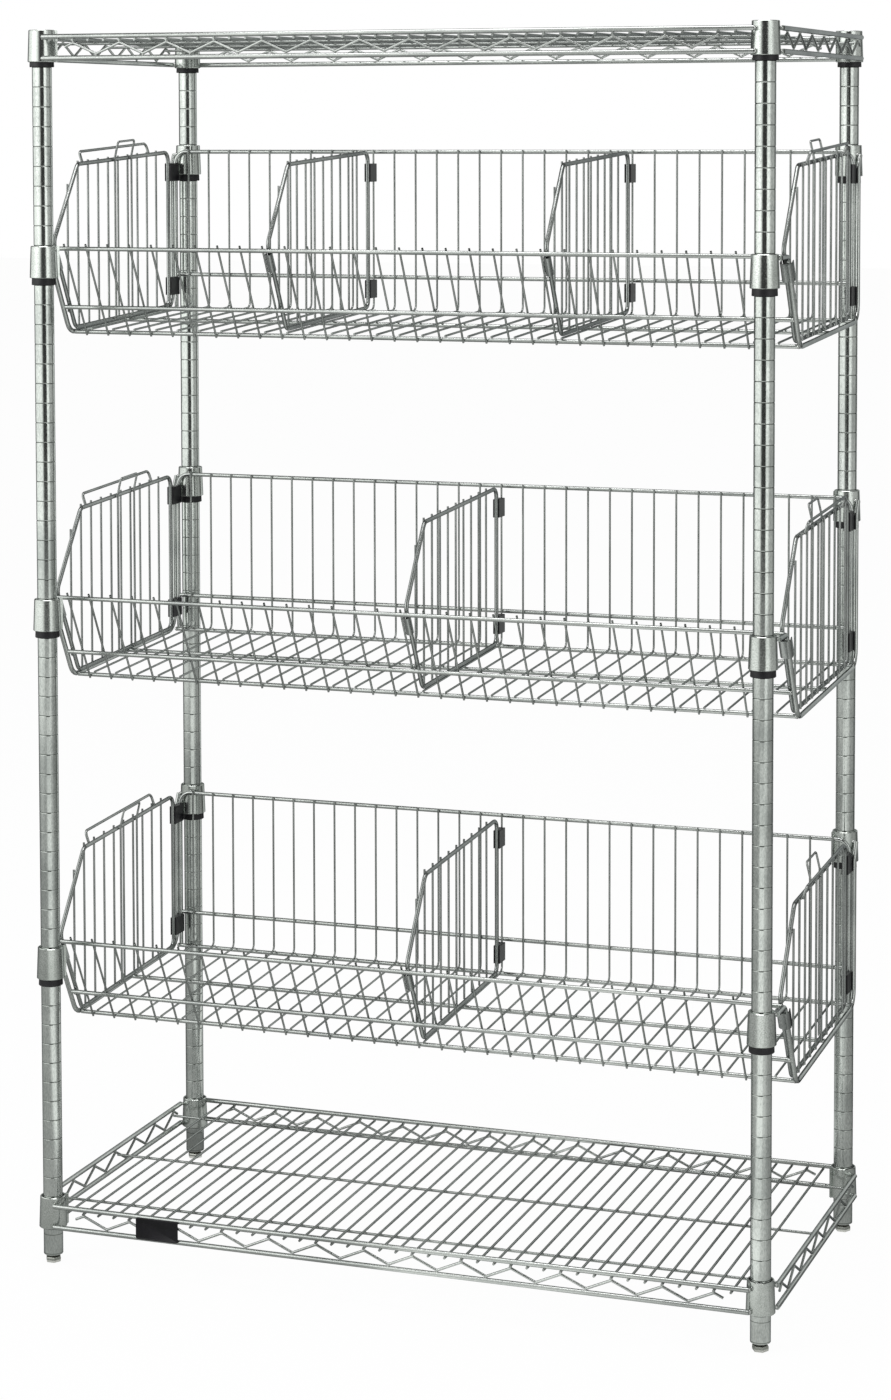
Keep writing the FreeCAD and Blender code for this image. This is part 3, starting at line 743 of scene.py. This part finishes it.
def shelf(level, body):
    """Four trusses with the mat of crosswise wires on its three long rods."""
    rail_radius = rail_diameter / 2
    upper = collar_bottom(level, -1) + collar_height - shelf_top_rail_drop
    lower = upper - shelf_rail_spacing
    truss_y = -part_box(level + "_front_truss")[0].y / MM - rail_radius - truss_collar_gap
    truss_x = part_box(level + "_right_truss")[1].x / MM - rail_radius - truss_collar_gap
    mat_height = upper - rail_radius - weld_gap - mat_wire_diameter / 2
    rod_height = mat_height - (mat_wire_diameter + truss_wire_diameter) / 2 - weld_gap
    side_peak = upper - rail_radius - weld_gap - truss_wire_diameter / 2
    long_side = (X, Y, truss_y, post_x - shelf_rail_inset, long_truss_waves, rod_height)
    short_side = (Y, X, truss_x, post_y - shelf_rail_inset, short_truss_waves, side_peak)
    sides = (("front", -1, long_side), ("rear", 1, long_side), ("left", -1, short_side), ("right", 1, short_side))
    for name, sign, (along, across, out, ends, waves, peak) in sides:
        meshes = truss(along, across, sign * out, ends, waves, peak, lower, upper)
        wire_piece(level + "_" + name + "_truss", body, meshes)
    reach = truss_y + rail_radius
    pitch = truss_pitch / mat_wires_per_wave
    start = Vector((-pitch * (mat_wire_count - 1) / 2, 0, mat_height))
    cross_wire = [start - Y * reach, start + Y * reach]
    row = wires([cross_wire], mat_wire_diameter, count=mat_wire_count, spacing=(pitch, 0, 0))
    rod_ys = (-side_rod_y, 0, side_rod_y)
    rods = [[Vector((side * (truss_x - rail_radius), y, rod_height)) for side in (-1, 1)] for y in rod_ys]
    spots, ends = [], []
    for i in range(mat_wire_count):
        place = start + X * (pitch * i)
        spots += [place + Y * y - Z * mat_weld_drop for y in rod_ys]
        spots += [place + Y * y + Z * mat_weld_rise for y in (-truss_y, truss_y)]
        ends += [place + Y * y for y in (mat_end_inset - reach, reach - mat_end_inset)]
    meshes = [row, wires(rods, truss_wire_diameter), beads(spots, mat_weld_radius, 5), beads(ends, mat_end_radius, 6)]
    wire_piece(level + "_mat", body, meshes)


# Baskets

class Section:
    """The side view of a basket: the line of its rails, and lines at a distance inside it."""

    def __init__(self, level):
        self.level = level
        self.base = sleeve_bottom(level, -1)
        self.slope = Vector((0, front_slope, -1)).normalized()
        self.front_corner = self.on_slope(floor_front_height)
        self.rear_corner = Vector((0, rear_rail_y, self.base + floor_rear_height))
        self.floor = (self.rear_corner - self.front_corner).normalized()
        self.inward = self.slope.cross(-X)
        self.upward = self.floor.cross(-X)
        self.front_floor_rail = self.front_corner + self.floor * (2 * wire_stack / self.floor.dot(self.inward))

    def on_slope(self, height, inside=0.0):
        drop = front_rail_height - height
        return Vector((0, front_rail_y + front_slope * drop + inside / abs(self.slope.z), self.base + height))

    def on_floor(self, y, inside=0.0):
        rise = (y - self.front_corner.y) * self.floor.z / self.floor.y
        return Vector((0, y, self.front_corner.z + rise + inside / self.floor.y))

    def inner_front_corner(self, inside):
        start = self.front_corner + self.inward * inside
        gap = self.on_floor(start.y, inside).z - start.z
        return start + self.slope * (gap / (self.slope.z - self.slope.y * self.floor.z / self.floor.y))


wire_stack = (basket_rail_diameter + basket_wire_diameter) / 2 + weld_gap
wire_xs = [basket_wire_pitch * (i - (basket_wire_count - 1) / 2) for i in range(basket_wire_count)]
panel_inside = basket_rail_diameter + end_panel_gap
divider_inside = wire_stack + basket_wire_diameter / 2 + basket_rail_diameter / 2 + panel_side_gap
picket_offset = (basket_rail_diameter + picket_diameter) / 2 + weld_gap


def trough(section, x, half_width, front, back):
    """A pressed trough with a rounded floor along the front slope."""
    start = section.on_slope(front_rail_height) + section.slope * (basket_rail_diameter / 2 + channel_drop)
    outer = half_width + channel_wall
    low = front - channel_wall

    def cup(width, floor):
        bend = min(width * channel_bend_share, channel_bend)
        points = [(width, back)]
        for k in range(channel_bend_steps + 1):
            a = math.pi / 2 * k / channel_bend_steps
            points.append((width - bend + bend * math.cos(a), floor + bend - bend * math.sin(a)))
        return points + [(-x, z) for x, z in reversed(points)]

    outline = cup(outer, low) + list(reversed(cup(half_width, front)))
    points = [start + X * (x + px) + section.inward * inside for px, inside in outline]
    return extruded(points, section.slope * channel_length, panel_wire, channel_edge)


def grille(section, body):
    """The back, the floor and the front of a basket, each with its rails, wires and welds."""
    base = section.base
    back_y = rear_rail_y - wire_stack
    rail_radius = basket_rail_diameter / 2
    first = X * wire_xs[0]
    front_first = first - X * front_wire_shift
    top = Vector((0, back_y, base + back_rail_height + back_wire_tip)) + first
    rear = section.on_floor(back_y, wire_stack) + first
    cut = rear + (top - rear).normalized() * wire_bend
    floor_rail = section.front_floor_rail
    nose = floor_rail + section.upward * wire_stack - section.floor * lower_wire_tip + first
    seat = section.inward * wire_stack
    slope_top = section.on_slope(front_rail_height) + seat - section.slope * wire_tip + front_first
    slope_end = floor_rail - seat + section.slope * lower_wire_tip + front_first

    def row(points):
        return wires([points], basket_wire_diameter, count=basket_wire_count, spacing=(basket_wire_pitch, 0, 0))

    def rail(place, end):
        return wires([[place - X * end, place + X * end]], basket_rail_diameter, bright_rail)

    backs = [row([top, cut])]
    floors = [row([cut, (rear, wire_bend), nose])]
    fronts = [row([slope_top, slope_end])]
    hoop_low = Vector((0, rear_rail_y, section.rear_corner.z + rail_radius + hoop_foot_gap))
    crown = Vector((0, rear_rail_y, base + back_rail_height))
    out = X * hoop_x
    hoop = [hoop_low - out, (crown - out, hoop_bend), (crown + out, hoop_bend), hoop_low + out]
    middle = Vector((0, rear_rail_y, base + back_middle_rail_height))
    backs += [wires([hoop], basket_rail_diameter, bright_rail), rail(middle, hoop_x - rail_radius)]
    rail_end = end_frame_x - end_frame_diameter / 2
    floor_places = [floor_rail, section.on_floor(floor_rail_y), section.rear_corner]
    front_places = [section.on_slope(height) for height in (front_rail_height, front_lower_rail_height)]
    floors += [rail(place, rail_end) for place in floor_places]
    fronts += [rail(place, rail_end) for place in front_places]
    back_welds = [(crown, -Y), (middle, -Y)]
    floor_welds = [(place, section.upward) for place in floor_places]
    slope_welds = [(place, section.inward) for place in front_places] + [(floor_rail, -section.inward)]
    rows = ((back_welds, 0, backs), (floor_welds, 0, floors), (slope_welds, front_wire_shift, fronts))
    for welds, shift, meshes in rows:
        spots = [place + X * (x - shift) + way * (rail_radius + weld_gap) for place, way in welds for x in wire_xs]
        meshes.append(beads(spots, wire_weld_radius, 11))
    for places, meshes in ((floor_places, floors), (front_places[1:], fronts)):
        spots = [place + X * (side * rail_end) for place in places for side in (-1, 1)]
        meshes.append(beads(spots, rail_end_weld_radius, 13))
    weld_y = collar_radius_top + front_weld_gap - post_y
    spots = [Vector((side * post_x, weld_y, front_places[0].z)) for side in (-1, 1)]
    fronts.append(beads(spots, front_weld_radius, 17))
    spots = [crown + X * (side * (post_x - hoop_weld_inset)) + Y * hoop_weld_back for side in (-1, 1)]
    backs.append(beads(spots, hoop_weld_radius, 19))
    half_width = (end_frame_diameter / 2 + end_frame_x - hoop_x + rail_radius) / 2 + panel_side_gap
    outer_face = end_frame_x + end_frame_diameter / 2 + panel_side_gap
    low = -end_frame_diameter / 2 - channel_floor_gap
    for side in (-1, 1):
        fronts.append(trough(section, side * (outer_face - half_width), half_width, low, panel_inside))
    half_width = rail_radius + panel_side_gap
    low = wire_stack - basket_wire_diameter / 2 - divider_channel_gap
    for basket, index in divider_wires.values():
        if basket == section.level:
            fronts.append(trough(section, wire_xs[index], half_width, low, divider_inside))
    for name, meshes in (("back", backs), ("floor", floors), ("front", fronts)):
        wire_piece(section.level + "_" + name + "_grille", body, meshes)


def end_frames(section, body):
    """The bent frames at both ends, from the front collars down and round to the rear ones."""
    base = section.base
    level = section.level
    top = base + back_rail_height - end_frame_rear_drop
    offset = end_frame_x - post_x
    front_reach = collar_radius(level, -1, base + front_rail_height) + end_frame_diameter / 2
    rear_reach = collar_radius(level, 1, top) + end_frame_diameter / 2
    front_y = math.sqrt(front_reach**2 - offset**2) - post_y - end_frame_seat
    rear_y = post_y - math.sqrt(rear_reach**2 - offset**2) + end_frame_seat
    paths, spots = [], []
    for sign in (-1, 1):
        side = X * (sign * end_frame_x)
        start = Vector((0, front_y, base + front_rail_height)) + side
        end = Vector((0, rear_y, top)) + side
        shoulder = Vector((0, rear_rail_y, base + back_rail_height - end_frame_shoulder)) + side
        paths.append([start, (section.on_slope(front_rail_height) + side, end_frame_top_bend),
                      (section.front_corner + side, end_frame_bend), (section.rear_corner + side, end_frame_bend),
                      (shoulder, end_frame_shoulder_bend), end])
        spots += [point - X * (sign * end_frame_weld_shift) for point in (start, end)]
    meshes = [wires(paths, end_frame_diameter, bright_rail), beads(spots, end_frame_weld_radius, 23)]
    wire_piece(level + "_end_frames", body, meshes)


class Panel:
    """The outline of an end panel or divider, a given distance inside the basket's line."""

    def __init__(self, section, inside):
        base = section.base
        self.section = section
        self.inside = inside
        self.rear_y = rear_rail_y - wire_stack - panel_rear_gap
        self.kink = section.on_slope(panel_kink_height, inside)
        self.top_front = Vector((0, panel_top_front[0], base + panel_top_front[1]))
        self.top_rear = Vector((0, self.rear_y, base + panel_top_rear_height))
        self.bottom_rear = section.on_floor(self.rear_y, inside)
        self.bottom_front = section.inner_front_corner(inside)

    def ring(self, x):
        path = [(self.kink, panel_kink_bend), (self.top_front, panel_nose_bend), (self.top_rear, panel_top_bend),
                (self.bottom_rear, panel_top_bend), (self.bottom_front, panel_nose_bend)]
        path = [(point + X * x, bend) for point, bend in path]
        return wires([path], basket_rail_diameter, panel_wire, closed=True)

    def top_at(self, y):
        start, end = (self.top_front, self.top_rear) if y > self.top_front.y else (self.kink, self.top_front)
        return start.z + (end.z - start.z) * (y - start.y) / (end.y - start.y)

    def bottom_at(self, y):
        if y > self.bottom_front.y:
            return self.section.on_floor(y, self.inside).z
        return self.bottom_front.z + (self.bottom_front.y - y) / front_slope

    def pickets(self, x, side):
        """Upright wires lapped on one side of the ring, with their welds."""
        out = X * (x + side * picket_offset)
        weld = X * (x + side * basket_rail_diameter / 2)
        paths, spots = [], []
        for i in range(picket_count):
            y = self.rear_y - picket_pitch * (i + 1)
            low, high = Vector((0, y, self.bottom_at(y))), Vector((0, y, self.top_at(y)))
            paths.append([low + out, high + out + Z * picket_tip])
            spots += [low + weld, high + weld]
        return [wires(paths, picket_diameter, panel_wire), beads(spots, picket_weld_radius, 29)]


def clip(x, ring_y, back_y, back_radius, bottom, sign=0):
    """A moulded clip that holds a ring's rear wire to the wire behind it."""
    slot = basket_rail_diameter / 2 + clip_slot_gap
    half = slot + clip_wall
    tip, floor = ring_y - clip_reach, ring_y + slot
    rear_floor, rear_tip = back_y - back_radius - fit_gap, back_y + clip_reach
    rear_slot = half - clip_wall if sign else back_radius + fit_gap
    outline = [(-half, tip), (-slot, tip), (-slot, floor), (slot, floor), (slot, tip), (half, tip)]
    outline += [(half, rear_floor)] if sign else [(half, rear_tip), (rear_slot, rear_tip), (rear_slot, rear_floor)]
    outline += [(-rear_slot, rear_floor), (-rear_slot, rear_tip), (-half, rear_tip)]
    mirror = sign if sign else 1
    points = [Vector((x + mirror * px, y, bottom)) for px, y in outline]
    return extruded(points, Z * clip_height, black_clip, clip_edge)


def clip_bottoms(section):
    """The heights of the upper and the lower clip."""
    upper = section.base + back_rail_height - hoop_bend - clip_height
    lower = section.base + back_middle_rail_height - basket_rail_diameter / 2 - clip_below_rail - clip_height
    return upper, lower


def end_panel(section, panel, sign, body):
    """An end panel with its long outer loop and the narrow bent wire inside it."""
    x = sign * hoop_x
    loop_x = sign * (hoop_x + (basket_rail_diameter + loop_diameter) / 2 + weld_gap)
    leg_x = sign * (hoop_x - picket_offset)
    front, rear = (Vector((loop_x, y, panel.top_at(y))) for y in loop_ys)
    lean = Vector((sign * loop_lean, 0, loop_height))
    loop = [front, (front + lean, loop_bend), (rear + lean, loop_bend), rear]
    legs = []
    for y in hairpin_ys:
        seat = Vector((leg_x, y, panel.top_at(y) + basket_rail_diameter / 2))
        crown = Vector((leg_x - sign * hairpin_lean, y, panel.top_at(y) + hairpin_height))
        legs.append([Vector((leg_x, y, panel.bottom_at(y))), (seat, hairpin_bend), (crown, hairpin_bend)])
    hairpin = legs[0] + legs[1][::-1]
    spots = [point - X * (sign * loop_diameter / 2) for point in (front, rear)]
    for y in hairpin_ys:
        spots += [Vector((x - sign * basket_rail_diameter / 2, y, z)) for z in (panel.bottom_at(y), panel.top_at(y))]
    meshes = [panel.ring(x)] + panel.pickets(x, sign)
    meshes += [wires([loop], loop_diameter, panel_wire),
               wires([hairpin], picket_diameter, panel_wire), beads(spots, loop_weld_radius, 31)]
    wire_piece(section.level + ("_left" if sign < 0 else "_right") + "_end_panel", body, meshes)


def panels(section, body):
    """Both end panels and the clips that hold them to the back hoop."""
    panel = Panel(section, panel_inside)
    clips = []
    for sign in (-1, 1):
        end_panel(section, panel, sign, body)
        for bottom in clip_bottoms(section):
            clips.append(clip(sign * hoop_x, panel.rear_y, rear_rail_y, basket_rail_diameter / 2, bottom, sign))
    node = section.level + "_panel_clips"
    piece(node + "_moulded", body, [node], clips)


def dividers(section):
    """The dividers of a basket, each on its own body with its clips."""
    panel = Panel(section, divider_inside)
    for name, (basket, index) in divider_wires.items():
        if basket != section.level:
            continue
        x = wire_xs[index]
        wire_piece(name, name, [panel.ring(x)] + panel.pickets(x, -1))
        back_y = rear_rail_y - wire_stack
        clips = [clip(x, panel.rear_y, back_y, basket_wire_diameter / 2, bottom) for bottom in clip_bottoms(section)]
        piece(name + "_clips_moulded", name, [name + "_clips"], clips)


def badge():
    """A blank plate with a raised rim and a rounded outline."""
    low, high = (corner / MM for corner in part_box("badge_plate"))
    centre, half = (low + high) / 2, (high - low) / 2

    def outline(inset, y):
        points = []
        r = max(badge_bend - inset, badge_least_bend)
        for sx, sz, start in ((1, 1, 0), (-1, 1, 90), (-1, -1, 180), (1, -1, 270)):
            for k in range(badge_bend_steps + 1):
                a = math.radians(start + 90 * k / badge_bend_steps)
                points.append(Vector((centre.x + sx * (half.x - inset - r) + r * math.cos(a), y,
                                      centre.z + sz * (half.z - inset - r) + r * math.sin(a))))
        return points

    rings = [outline(0, high.y), outline(0, low.y + badge_edge), outline(badge_edge, low.y),
             outline(badge_rim, low.y), outline(badge_rim + badge_rim_slope, low.y + badge_rim_height)]
    plate = finished(ringed(rings, False), badge_black, badge_sharp_angle)
    piece("badge_plate_moulded", "stand", ["badge_plate"], [plate])


# The stand

for name, (sx, sy) in corners.items():
    centre = post_axis(sx, sy)
    piece("post_" + name + "_tube", "stand", ["post_" + name], post(centre))
    piece("foot_" + name + "_hexagon", "foot_" + name, ["foot_" + name], foot(centre))
axes = [post_axis(*corner) for corner in corners.values()]
piece("post_caps_moulded", "stand", ["post_caps"], [cap(axis) for axis in axes])
piece("foot_sockets_turned", "stand", ["foot_sockets"], [socket(axis) for axis in axes])
badge()
for level in levels:
    body = "stand" if level == "bottom_shelf" else level
    halves, rings = [], []
    for sx, sy in corners.values():
        halves += sleeve(post_axis(sx, sy), sleeve_bottom(level, sy))
        rings += collar(sx, sy, collar_bottom(level, sy))
    piece("split_sleeves_" + level + "_moulded", "stand", ["split_sleeves_" + level], halves)
    piece(level + "_collars_turned", body, [level + "_collars"], rings)
    if level.startswith("basket"):
        section = Section(level)
        grille(section, body)
        end_frames(section, body)
        panels(section, body)
        dividers(section)
    else:
        shelf(level, body)


# Camera, floor and light, in metres

view_turn = math.radians(19.53)
view_pitch = math.radians(3.64)
view_roll = math.radians(0.12)
camera_place = (1.4080, -3.9914, 1.4811)
camera_shift = -0.26
image_height = 1400
focal_pixels = 3245.0
lamp_target = Vector((0, 0, 0.8))
world_strength = 0.55
white = (1, 1, 1, 1)
floor_tone = 0.86
floor_roughness = 0.9
floor_glow_share = 0.965

camera_data = bpy.data.cameras.new("camera")
camera_data.sensor_width = 36.0
camera_data.lens = focal_pixels / image_height * camera_data.sensor_width
camera_data.shift_y = camera_shift
camera_data.clip_end = 100.0
camera = bpy.data.objects.new("camera", camera_data)
bpy.context.scene.collection.objects.link(camera)
camera.location = camera_place
camera.rotation_euler = (math.pi / 2 - view_pitch, view_roll, view_turn)
bpy.context.scene.camera = camera
toward_camera = Vector((math.sin(view_turn), -math.cos(view_turn), 0))


def staged(name, mesh, material, seen):
    """A stage piece; unless it is seen, only reflections show it."""
    obj = bpy.data.objects.new(name, mesh)
    bpy.context.scene.collection.objects.link(obj)
    mesh.materials.append(material)
    obj.visible_camera = seen
    obj.visible_diffuse = seen
    obj.visible_shadow = seen


def white_to_the_eye(tree, output, lit, glow, share=1.0):
    """The lit shader, and the glow by its share for the rays of the camera and of reflections."""
    ray = step(tree, "ShaderNodeLightPath", {})
    direct = calculated(tree, "MAXIMUM", ray["Is Camera Ray"], ray["Is Glossy Ray"])
    inputs = {"Fac": calculated(tree, "MULTIPLY", direct, share), 1: lit, 2: glow}
    feed(tree, tree.nodes[output], {"Surface": step(tree, "ShaderNodeMixShader", inputs)["Shader"]})


def floor_material():
    """A pale floor that looks white and keeps a soft shadow."""
    material, tree, surface = shader("pale_floor")
    tone = (floor_tone, floor_tone, floor_tone, 1)
    feed(tree, surface, {"Base Color": tone, "Roughness": floor_roughness, "Specular IOR Level": 0.0})
    glow = step(tree, "ShaderNodeEmission", {"Color": white, "Strength": 1.0})["Emission"]
    white_to_the_eye(tree, "Material Output", surface.outputs["BSDF"], glow, floor_glow_share)
    return material


floor_reach = 30.0
floor_height = -0.0005
floor_plane = bpy.data.meshes.new("plane")
corner_signs = ((-1, -1), (1, -1), (1, 1), (-1, 1))
floor_points = [(sx * floor_reach, sy * floor_reach, floor_height) for sx, sy in corner_signs]
floor_plane.from_pydata(floor_points, [], [(0, 1, 2, 3)])
staged("floor", floor_plane, floor_material(), True)

# Studio walls, floor cloth and lid that only the metal reflects. Each row has its radius, its height, how much
# it takes the upper tone and how bright it is; each stop has its angle from the camera's side, the tone of the
# wall there and the tone of the floor cloth below it.
wall_tint = (0.97, 1.0, 0.97)
wall_rows = [
    (0.02, 0.003, 0.0, 1.15), (3.2, 0.003, 0.0, 1.05), (3.2, 0.65, 1.0, 1.0), (3.2, 4.2, 1.0, 1.0),
    (3.2, 4.8, 1.0, 0.25), (0.05, 5.0, 1.0, 0.10),
]
wall_stops = [
    (-180, 0.42, 0.38), (-155, 0.40, 0.36), (-145, 0.12, 0.18), (-132, 0.10, 0.16), (-122, 0.62, 0.26),
    (-112, 0.98, 0.30), (-48, 0.98, 0.30),
    (-38, 0.92, 0.34), (-32, 0.62, 0.40), (-26, 0.30, 0.55), (-20, 0.04, 0.72), (16, 0.04, 0.72),
    (21, 0.94, 0.50), (38, 0.96, 0.42), (50, 0.55, 0.32), (60, 0.40, 0.27), (90, 0.42, 0.24),
    (104, 0.35, 0.22), (110, 0.12, 0.08), (126, 0.12, 0.08), (133, 0.76, 0.66), (151, 0.76, 0.66),
    (158, 0.50, 0.44), (180, 0.42, 0.38),
]


def wall_material():
    """The colours on the wall's corners, as light."""
    material, tree, surface = shader("studio_wall")
    tree.nodes.remove(surface)
    tone = step(tree, "ShaderNodeVertexColor", {}, layer_name="tone")["Color"]
    glow = step(tree, "ShaderNodeEmission", {"Color": tone})["Emission"]
    feed(tree, tree.nodes["Material Output"], {"Surface": glow})
    return material


def wall():
    """One face between each two rows and each two stops, with the colours on its corners."""
    mesh = bpy.data.meshes.new("wall")
    points, faces, tones = [], [], []
    start = math.atan2(toward_camera.y, toward_camera.x)
    for angle, upper, lower in wall_stops:
        a = start + math.radians(angle)
        for radius, height, share, brightness in wall_rows:
            points.append((radius * math.cos(a), radius * math.sin(a), height))
            tone = (lower + (upper - lower) * share) * brightness
            tones += [tone * channel for channel in wall_tint] + [1.0]
    rows = len(wall_rows)
    for i in range(len(wall_stops) - 1):
        for k in range(rows - 1):
            low = i * rows + k
            faces.append((low, low + rows, low + rows + 1, low + 1))
    mesh.from_pydata(points, [], faces)
    mesh.color_attributes.new("tone", "FLOAT_COLOR", "POINT").data.foreach_set("color", tones)
    return mesh


staged("studio_wall", wall(), wall_material(), False)


def lamp(name, place, size, power):
    """A cloth of light turned to the stand."""
    data = bpy.data.lights.new(name, "AREA")
    data.shape = "RECTANGLE"
    data.size, data.size_y = size
    data.energy = power
    obj = bpy.data.objects.new(name, data)
    bpy.context.scene.collection.objects.link(obj)
    obj.location = place
    obj.rotation_euler = (lamp_target - Vector(place)).to_track_quat("-Z", "Y").to_euler()


lamp("left_cloth", (-3.2, -3.4, 2.6), (2.4, 2.4), 90)
lamp("right_cloth", (4.2, -2.2, 2.2), (1.6, 2.4), 40)
lamp("top_cloth", (0.0, -0.6, 4.6), (3.0, 2.0), 60)

world = bpy.data.worlds.new("studio")
bpy.context.scene.world = world
world.use_nodes = True
tree = world.node_tree
feed(tree, tree.nodes["Background"], {"Color": white, "Strength": world_strength})
shown = step(tree, "ShaderNodeBackground", {"Color": white, "Strength": 1.0})["Background"]
white_to_the_eye(tree, "World Output", tree.nodes["Background"].outputs["Background"], shown)
bpy.context.scene.view_settings.view_transform = "Standard"
